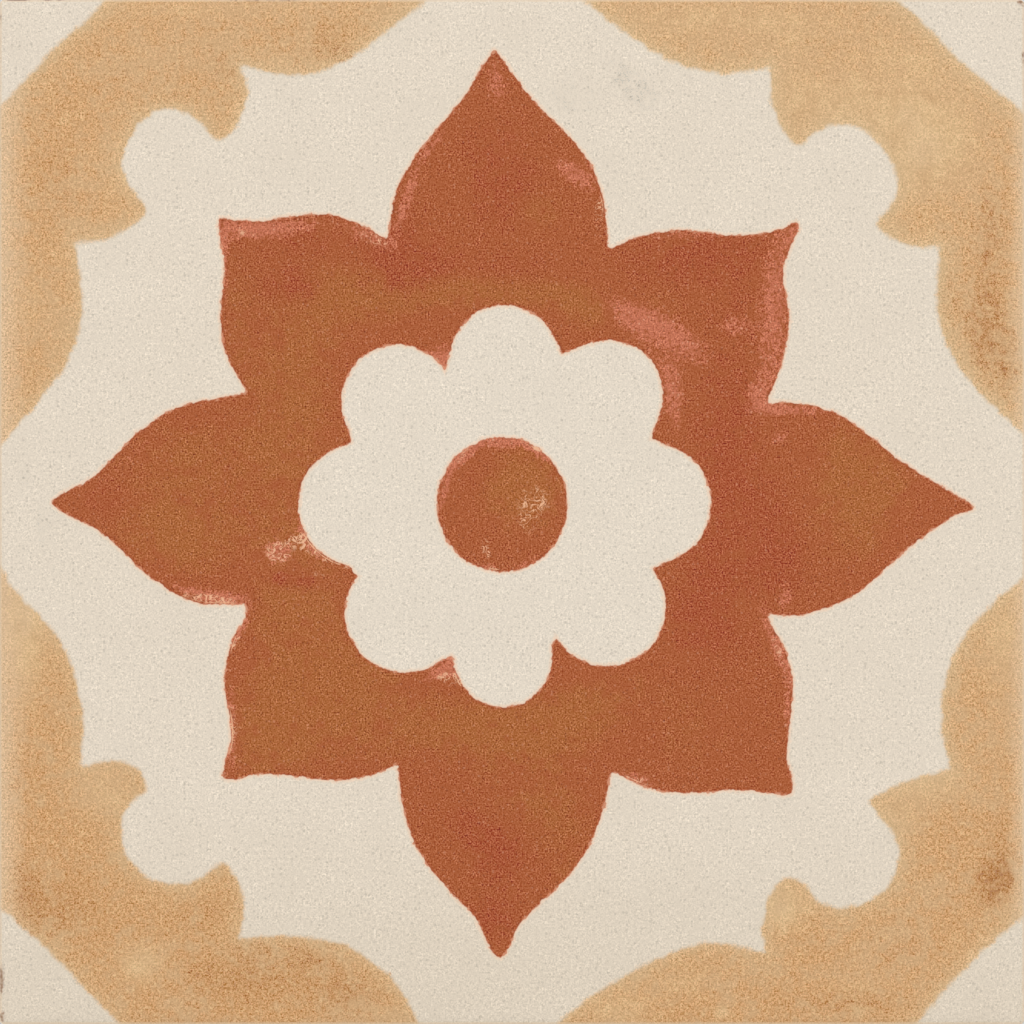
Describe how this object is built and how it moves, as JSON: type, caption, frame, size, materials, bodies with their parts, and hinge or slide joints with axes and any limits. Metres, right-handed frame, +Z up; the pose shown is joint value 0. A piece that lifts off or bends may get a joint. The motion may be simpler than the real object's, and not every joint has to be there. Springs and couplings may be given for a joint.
{
  "type": "ceramic floor tile",
  "caption": "Square pressed ceramic floor tile with a matt face printed with a petalled star and corner scrolls, cushioned edges and a keyed back.",
  "frame": {"origin": "middle of the back, on the level that the back's ribs stand on", "axes": "+Z up out of the walking face, +X and +Y along the tile's sides; the picture's right is +X and its top is +Y"},
  "size_m": [0.2, 0.2, 0.009],
  "materials": {
    "fired_clay": "matt printed face, bare fired sides and back"
  },
  "bodies": {
    "root": {"tile": "fired_clay"}
  },
  "joints": []
}
